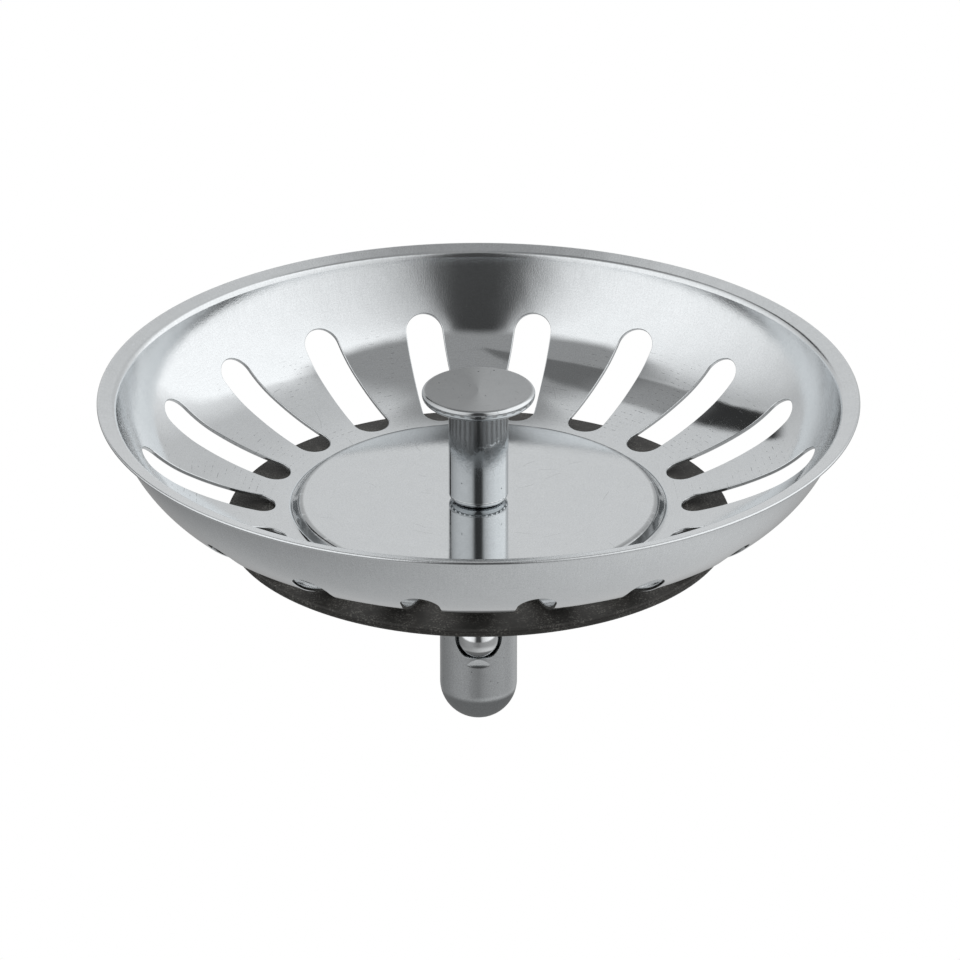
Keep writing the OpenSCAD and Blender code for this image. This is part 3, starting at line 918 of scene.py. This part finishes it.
def stem_steel():
    """Turned, a little duller, and darkened inside the bores and holes: painted shade, and grease."""
    metal = Metal("stem_steel", roughness=0.12)
    nodes, around = metal.nodes, metal.around
    shade_in_holes = nodes.smooth(around.out, (STEM_R - 0.15) * MM, (STEM_R - 0.5) * MM)
    above_dome = nodes.math("GREATER_THAN", around.along, (STEM_LOW_Z + STEM_R) * MM)
    metal.waves(per_metre=600, metres=8e-6)
    metal.grain(per_metre=6500, metres=5e-6, tone=0.5)
    metal.turned(per_turn=30, per_metre=7000, metres=6e-7)
    metal.blotches(per_metre=700, tone=0.12, rough=0.05)
    metal.pits(cell=0.7e-3, size=0.08e-3, chance=0.3, amount=0.55)
    # Painted shade, standing for grease too: all that lies nearer the axis than the round surface,
    # above the round end, is made nearly black.
    metal.darken(nodes.product(shade_in_holes, above_dome), 0.93)
    return metal.done(STEEL)


def ball_steel():
    """Hardened and polished."""
    metal = Metal("ball_steel", roughness=0.06, centre=(0, BALL_Y, BORE_Z), axis="y")
    metal.grain(per_metre=7000, metres=3e-6)
    metal.blotches(per_metre=900, tone=0.05, rough=0.04)
    metal.pits(cell=0.6e-3, size=0.03e-3, chance=0.15, amount=0.4)
    return metal.done(BALL_STEEL)


def plain_steel(name, tone, roughness):
    """Cut or rolled steel of the small parts."""
    metal = Metal(name, roughness)
    metal.grain(per_metre=5000, metres=1e-5)
    metal.turned(per_turn=60, per_metre=5000, metres=1e-6)
    metal.blotches(per_metre=500, tone=0.15, rough=0.1)
    metal.scratches(cell=3e-3, length=1.6e-3, width=0.03e-3, amount=0.3)
    metal.pits(cell=1e-3, size=0.06e-3, chance=0.2, amount=0.5)
    return metal.done((tone, tone * 1.01, tone * 1.02))


def rubber():
    """Matt black moulded rubber, with a dusty bloom and pale specks."""
    material, nodes = new_material("seal_rubber")
    around = Around(nodes)
    bloom = nodes.noise(around.place, scale=500, detail=4, roughness=0.65)
    specks = nodes.noise(around.place, scale=5200, detail=2, roughness=0.7)
    skin = nodes.noise(around.place, scale=14000, detail=2)
    dust = nodes.product(nodes.smooth(specks, 0.51, 0.66), nodes.smooth(bloom, 0.36, 0.6))
    dark = nodes.tint(bloom, (0.024, 0.023, 0.021, 1), (0.046, 0.044, 0.040, 1))
    colour = nodes.tint(nodes.product(dust, 0.8), dark, (0.20, 0.195, 0.18, 1))
    rough = nodes.math("MULTIPLY_ADD", specks, 0.3, 0.5, clamp=True)
    relief = nodes.bump(skin, 1.2e-5, nodes.bump(bloom, 2e-5))
    shader = nodes.add("ShaderNodeBsdfPrincipled", {
        "Base Color": colour, "Roughness": rough, "Normal": relief, "Specular IOR Level": 0.5})
    nodes.output(shader)
    return material


def paint(piece, material):
    """Gives a piece one material and no other."""
    piece.data.materials.clear()
    piece.data.materials.append(material)


# ---------------------------------------------------------------- studio
# Brightness by direction, in degrees. 0 is towards the camera, and positive is to its
# right. TENT is the soft light tent, with a narrow dark gap in front. It ends at EDGE
# degrees up, under a dim ceiling. FLOOR_GLOW is the floor that metal sees.
TENT = [(-180, .54), (-155, .52), (-130, .42), (-110, .66), (-90, .80), (-70, .86),
        (-45, .84), (-28, .68), (-20, .38), (-14, .10), (-9, .045), (9, .045), (14, .10),
        (20, .36), (28, .54), (45, .72), (70, .87), (90, .91), (125, .94), (131, .68),
        (147, .47), (160, .47), (172, .53), (180, .54)]
EDGE = [(-180, 37), (-174, 46), (-170, 56), (-164, 58), (-150, 61), (-130, 58), (-110, 58),
        (-90, 62), (-60, 70), (-30, 72), (0, 76), (30, 72), (60, 72), (90, 67), (110, 62),
        (130, 60), (150, 61), (164, 60), (170, 56), (174, 46), (180, 37)]
FLOOR_GLOW = [(-180, .24), (-134, .155), (-100, .19), (-75, .235), (-54, .255), (-35, .245),
              (-17, .19), (0, .165), (17, .22), (35, .255), (75, .29), (100, .28),
              (134, .34), (180, .24)]
CEILING, UNDER_FLOOR, LIGHT = 0.25, 0.38, 1.5

# Where one light fades into the next, in degrees up, or from the tent's edge
CEILING_FADE, HORIZON_FADE, UNDER_FADE = (-6, 4), (1, -10), (-28, -52)
GAP_FOOT_FADE, GAP_TOP_FADE = (17, 25), (42, 50)
GAP_DARK, GAP_TOP_DARK = 0.94, 0.5

FLOOR_Z = STEM_LOW_Z - 1.0


def by_direction(nodes, turn, levels):
    """Level by the way round, where turn goes from 0 to 1."""
    stops = [((degrees + 180) / 360, level) for degrees, level in levels]
    return nodes.ramp(turn, stops)


def slanted_gap(nodes, turn, rise):
    """Share of darkness in a slanted gap of the tent, far back on the left."""
    start, lean, half, spread, soft = -135.0, -0.22, 3.0, 0.15, 0.15
    azimuth = nodes.math("MULTIPLY_ADD", turn, 360.0, -180.0)
    middle = nodes.math("MULTIPLY_ADD", rise, lean, start)
    half = nodes.math("MULTIPLY_ADD", rise, spread, half)
    away = nodes.math("ABSOLUTE", nodes.math("SUBTRACT", azimuth, middle))
    gap = nodes.smooth(nodes.math("DIVIDE", away, half), 1 + soft, 1 - soft)
    return nodes.product(gap, nodes.smooth(rise, *GAP_FOOT_FADE),
                         nodes.smooth(rise, *GAP_TOP_FADE, GAP_DARK, GAP_TOP_DARK))


def studio():
    """A soft light tent over a pale floor, as light from all directions."""
    scene = bpy.context.scene
    scene.view_settings.view_transform = "Standard"
    world = bpy.data.worlds.new("light_tent")
    scene.world = world
    world.use_nodes = True
    nodes = Nodes(world.node_tree)
    way = nodes.add("ShaderNodeTexCoord").outputs["Generated"]
    x, y, z = nodes.split(way)
    turn = nodes.math("ARCTAN2", x, nodes.product(y, -1.0))
    turn = nodes.math("MULTIPLY_ADD", turn, 0.5 / math.pi, 0.5)
    rise = nodes.product(nodes.math("ARCSINE", z), 180 / math.pi)
    tent = by_direction(nodes, turn, TENT)
    edge = by_direction(nodes, turn, [(degrees, rise_deg / 90) for degrees, rise_deg in EDGE])
    above = nodes.math("SUBTRACT", rise, nodes.product(edge, 90.0))
    tent = nodes.mix(nodes.smooth(above, *CEILING_FADE), tent, CEILING)
    tent = nodes.product(tent, nodes.left(slanted_gap(nodes, turn, rise)))
    under = nodes.math("MULTIPLY_ADD", x, 0.2, UNDER_FLOOR)
    pale = by_direction(nodes, turn, FLOOR_GLOW)
    pale = nodes.mix(nodes.smooth(rise, *UNDER_FADE), pale, under)
    light = nodes.mix(nodes.smooth(rise, *HORIZON_FADE), tent, pale)
    glow = nodes.add("ShaderNodeBackground", {"Color": light, "Strength": LIGHT})
    nodes.output(glow, "ShaderNodeOutputWorld")


def staged(name, points, faces, material, seen_by):
    """Part of the studio, in millimetres, which only some kinds of ray see."""
    mesh = bpy.data.meshes.new(name)
    mesh.from_pydata([tuple(np.array(p) * MM) for p in points], [], faces)
    piece = bpy.data.objects.new(name, mesh)
    bpy.context.scene.collection.objects.link(piece)
    for ray in ("camera", "diffuse", "glossy", "transmission", "volume_scatter", "shadow"):
        setattr(piece, "visible_" + ray, ray in seen_by)
    paint(piece, material)


def contact_shade():
    """The dark patch that the stem's round end sees under itself."""
    radius, sides, clear_from, clear_to, grey = 16.0, 64, 7, 10, 0.17
    material, nodes = new_material("contact_shade")
    clear = nodes.smooth(Around(nodes).out, clear_from * MM, clear_to * MM)
    dark = nodes.add("ShaderNodeEmission", {"Color": (grey, grey, grey, 1), "Strength": 1.0})
    gap = nodes.add("ShaderNodeBsdfTransparent")
    both = nodes.add("ShaderNodeMixShader", {0: clear, 1: dark.outputs[0], 2: gap.outputs[0]})
    nodes.output(both)
    disc = [spun((radius, FLOOR_Z), angle) for angle in turns(sides)]
    staged("contact_shade", disc, [list(range(sides))], material, ("glossy",))


def floor():
    """A plain white floor that sweeps up into a backdrop all round. Only the camera sees it."""
    radius, cove, steps, sides = 3000.0, 800.0, 12, 96
    outline = [(radius - cove, FLOOR_Z)]
    for i in range(1, steps + 1):
        r, z = direction(-90 + 90 * i / steps) * cove
        outline.append((radius - cove + r, FLOOR_Z + cove + z))
    outline.append((radius, radius))
    points, rows = [(0, 0, FLOOR_Z)], []
    for point in outline:
        rows.append(range(len(points), len(points) + sides))
        points += [spun(point, angle) for angle in turns(sides)]
    points.append((0, 0, radius * 1.5))
    faces = []
    for i in range(sides):
        j = (i + 1) % sides
        faces.append([0, rows[0][j], rows[0][i]])
        faces.append([rows[-1][i], rows[-1][j], len(points) - 1])
        faces += [[low[i], low[j], high[j], high[i]] for low, high in zip(rows, rows[1:])]
    white, nodes = new_material("floor_white")
    glow = nodes.add("ShaderNodeEmission", {"Color": (1, 1, 1, 1), "Strength": 1.0})
    nodes.output(glow)
    staged("floor", points, faces, white, ("camera",))


def camera():
    """A long lens, well above the rim."""
    elevation, distance = math.radians(25.6), 811.2
    aside, foot_up, aim_up = 0.155, 0.56, 3.4
    foot = Vector((aside, 0, SEAT_Z + foot_up))
    aim = Vector((aside, 0, SEAT_Z + aim_up))
    back = Vector((0, -math.cos(elevation), math.sin(elevation)))
    data = bpy.data.cameras.new("camera")
    data.lens = 295.7
    data.sensor_width = 36
    data.clip_start, data.clip_end = 0.05, 20
    eye = bpy.data.objects.new("camera", data)
    bpy.context.scene.collection.objects.link(eye)
    eye.location = (foot + back * distance) * MM
    eye.rotation_mode = "QUATERNION"
    eye.rotation_quaternion = (aim * MM - eye.location).to_track_quat("-Z", "Y")
    bpy.context.scene.camera = eye


def main():
    camera()
    studio()
    floor()
    contact_shade()
    paint(basket(), bowl_steel())
    paint(knob(), knob_steel())
    paint(seal(), rubber())
    paint(washer(), plain_steel("washer_steel", 0.6, 0.22))
    paint(stem(), stem_steel())
    paint(ball(), ball_steel())
    paint(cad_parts["lock_washer"], plain_steel("lock_steel", 0.45, 0.3))
    paint(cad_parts["detent_spring"], plain_steel("spring_steel", 0.5, 0.3))


main()
